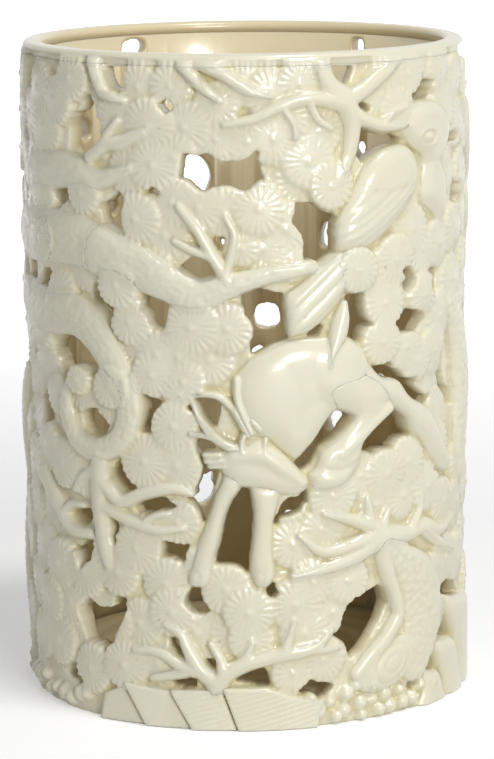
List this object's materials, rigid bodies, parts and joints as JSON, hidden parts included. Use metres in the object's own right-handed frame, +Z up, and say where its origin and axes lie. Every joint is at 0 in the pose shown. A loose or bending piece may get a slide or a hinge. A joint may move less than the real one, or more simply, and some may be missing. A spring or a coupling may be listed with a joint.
{
  "type": "brush pot",
  "caption": "Porcelain brush pot with a pierced wall of pine tufts, branches, a deer and a bird in relief, for holding writing brushes",
  "frame": {"origin": "middle of the foot, on the surface the pot stands on", "axes": "+Z up along the pot's axis, -Y towards the pictured front with the deer, +X to its right"},
  "size_m": [0.0866, 0.0871, 0.125],
  "materials": {
    "glaze": "glossy ivory glaze that pools warm in the hollows",
    "figure_glaze": "glossy ivory glaze, thin over the smooth figures",
    "inside_glaze": "plain glossy ivory glaze"
  },
  "bodies": {
    "root": {"back_high_branch": "glaze", "back_rock_high": "glaze", "back_rock_low": "glaze", "back_trunk": "glaze", "bird_head_and_breast": "figure_glaze", "bird_tail": "figure_glaze", "bird_wing": "figure_glaze", "branch_below_tail": "glaze", "curled_trunk": "glaze", "deer_body": "figure_glaze", "deer_far_hindleg": "figure_glaze", "deer_head": "figure_glaze", "deer_left_antler": "figure_glaze", "deer_left_foreleg": "figure_glaze", "deer_near_hindleg": "figure_glaze", "deer_right_antler": "figure_glaze", "deer_right_foreleg": "figure_glaze", "deer_tail": "figure_glaze", "far_side_rock_high": "glaze", "far_side_rock_low": "glaze", "far_side_trunk": "glaze", "floor": "inside_glaze", "foot_branches": "glaze", "left_side_branch": "glaze", "left_side_trunk": "glaze", "lip": "glaze", "lower_left_branch": "glaze", "pierced_wall": "glaze", "right_branch": "glaze", "right_edge_trunk": "glaze", "right_side_branch": "glaze", "right_trunk_with_knot": "glaze", "rim_branch_left": "glaze", "rim_branch_middle": "glaze", "rim_branch_right": "glaze", "rock_slab_left": "glaze", "rock_slab_middle": "glaze", "rock_slab_outer_left": "glaze", "rock_slab_right": "glaze", "rock_step_high": "glaze", "rock_step_low": "glaze", "rock_step_middle": "glaze", "upper_left_branch": "glaze", "upper_left_trunk": "glaze"}
  },
  "joints": []
}
